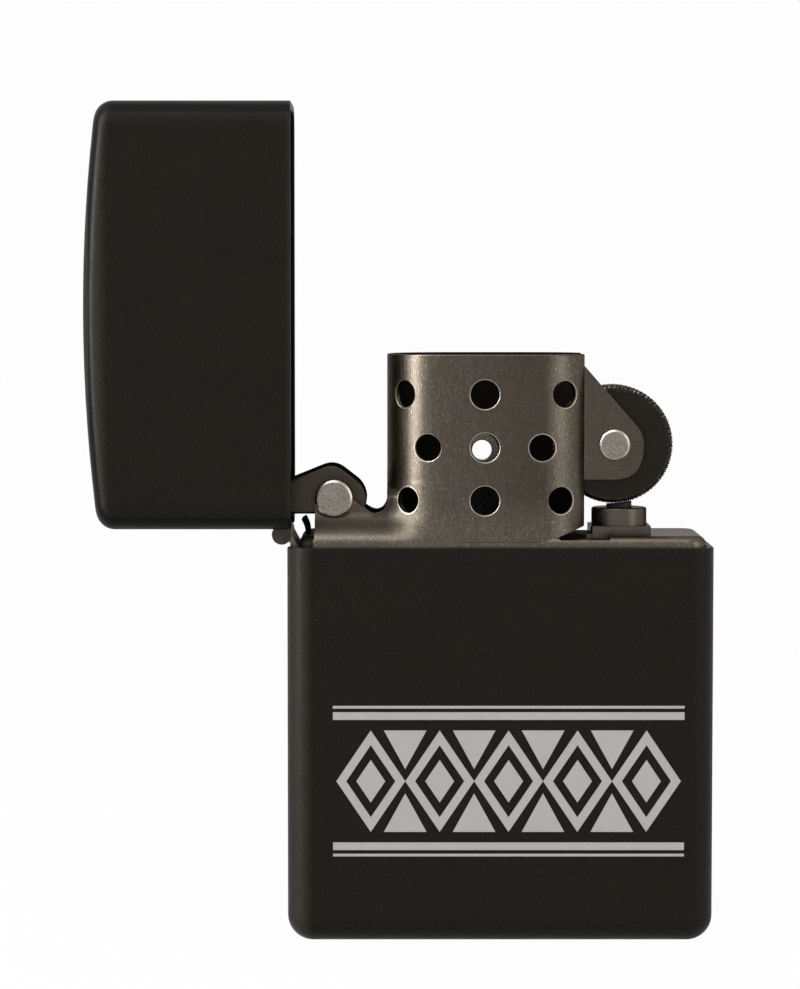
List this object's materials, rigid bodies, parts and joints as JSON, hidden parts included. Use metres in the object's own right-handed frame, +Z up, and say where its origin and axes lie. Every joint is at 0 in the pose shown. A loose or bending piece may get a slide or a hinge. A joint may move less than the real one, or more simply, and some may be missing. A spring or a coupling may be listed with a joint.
{
  "type": "lighter",
  "caption": "Flip-top petrol lighter, lid open: coated metal case, perforated chimney, spark wheel, cam-held lid, wick and flint inside a pull-out insert.",
  "frame": {"origin": "centre of the case's flat bottom face", "axes": "+X to the right seen from the front, away from the hinge; +Y from the front to the back; +Z up"},
  "size_m": [0.0567, 0.013, 0.0759],
  "materials": {
    "case_coating": "matte warm black coating with a fine grain",
    "hinge_metal": "dark coated steel, worn brighter at the barrel",
    "insert_steel": "dark warm brushed steel",
    "cam_steel": "darker satin steel",
    "rivet_steel": "bright satin rivet head",
    "wheel_steel": "blackened hardened steel",
    "flint_alloy": "dull grey alloy",
    "brass": "plain brass",
    "cotton": "off-white cotton",
    "felt": "pale pressed felt"
  },
  "bodies": {
    "case": {"bottom_case": "case_coating", "case_hinge_leaf": "hinge_metal", "hinge_pin": "rivet_steel"},
    "lid": {"lid": "case_coating", "lid_hinge_leaf": "hinge_metal"},
    "insert": {"insert_shell": "insert_steel", "cam_rivet": "rivet_steel", "cam_spring": "cam_steel", "wheel_axle": "rivet_steel", "flint_tube": "insert_steel", "flint_plate": "insert_steel", "flint_spring": "brass", "wick": "cotton", "packing_balls": "cotton", "felt_pad": "felt"},
    "cam": {"cam": "cam_steel"},
    "wheel": {"spark_wheel": "wheel_steel"},
    "flint_feed": {"flint": "flint_alloy", "plunger": "brass"},
    "flint_screw": {"flint_screw": "brass"}
  },
  "joints": [
    {"name": "lid_hinge", "type": "hinge", "parent": "case", "child": "lid", "pos_m": [-0.01975, 0, 0.03685], "axis": [0, -1, 0], "range_deg": [-90, 0]},
    {"name": "insert_slide", "type": "slide", "parent": "case", "child": "insert", "axis": [0, 0, 1], "range_m": [0, 0.03]},
    {"name": "cam_pivot", "type": "hinge", "parent": "insert", "child": "cam", "pos_m": [-0.01505, 0, 0.04007], "axis": [0, -1, 0], "range_deg": [-72, 0]},
    {"name": "wheel_spin", "type": "hinge", "parent": "insert", "child": "wheel", "pos_m": [0.01033, 0, 0.04494], "axis": [0, 1, 0], "continuous": true},
    {"name": "flint_travel", "type": "slide", "parent": "insert", "child": "flint_feed", "axis": [0, 0, 1], "range_m": [-0.004, 0], "stiffness_N_per_m": 20, "deforming": ["flint_spring"]},
    {"name": "screw_turn", "type": "hinge", "parent": "insert", "child": "flint_screw", "pos_m": [0.01095, 0, 0.0013], "axis": [0, 0, -1], "continuous": true}
  ],
  "couplings": [
    {"joint": "cam_pivot", "follows": "lid_hinge", "ratio": 0.8}
  ]
}
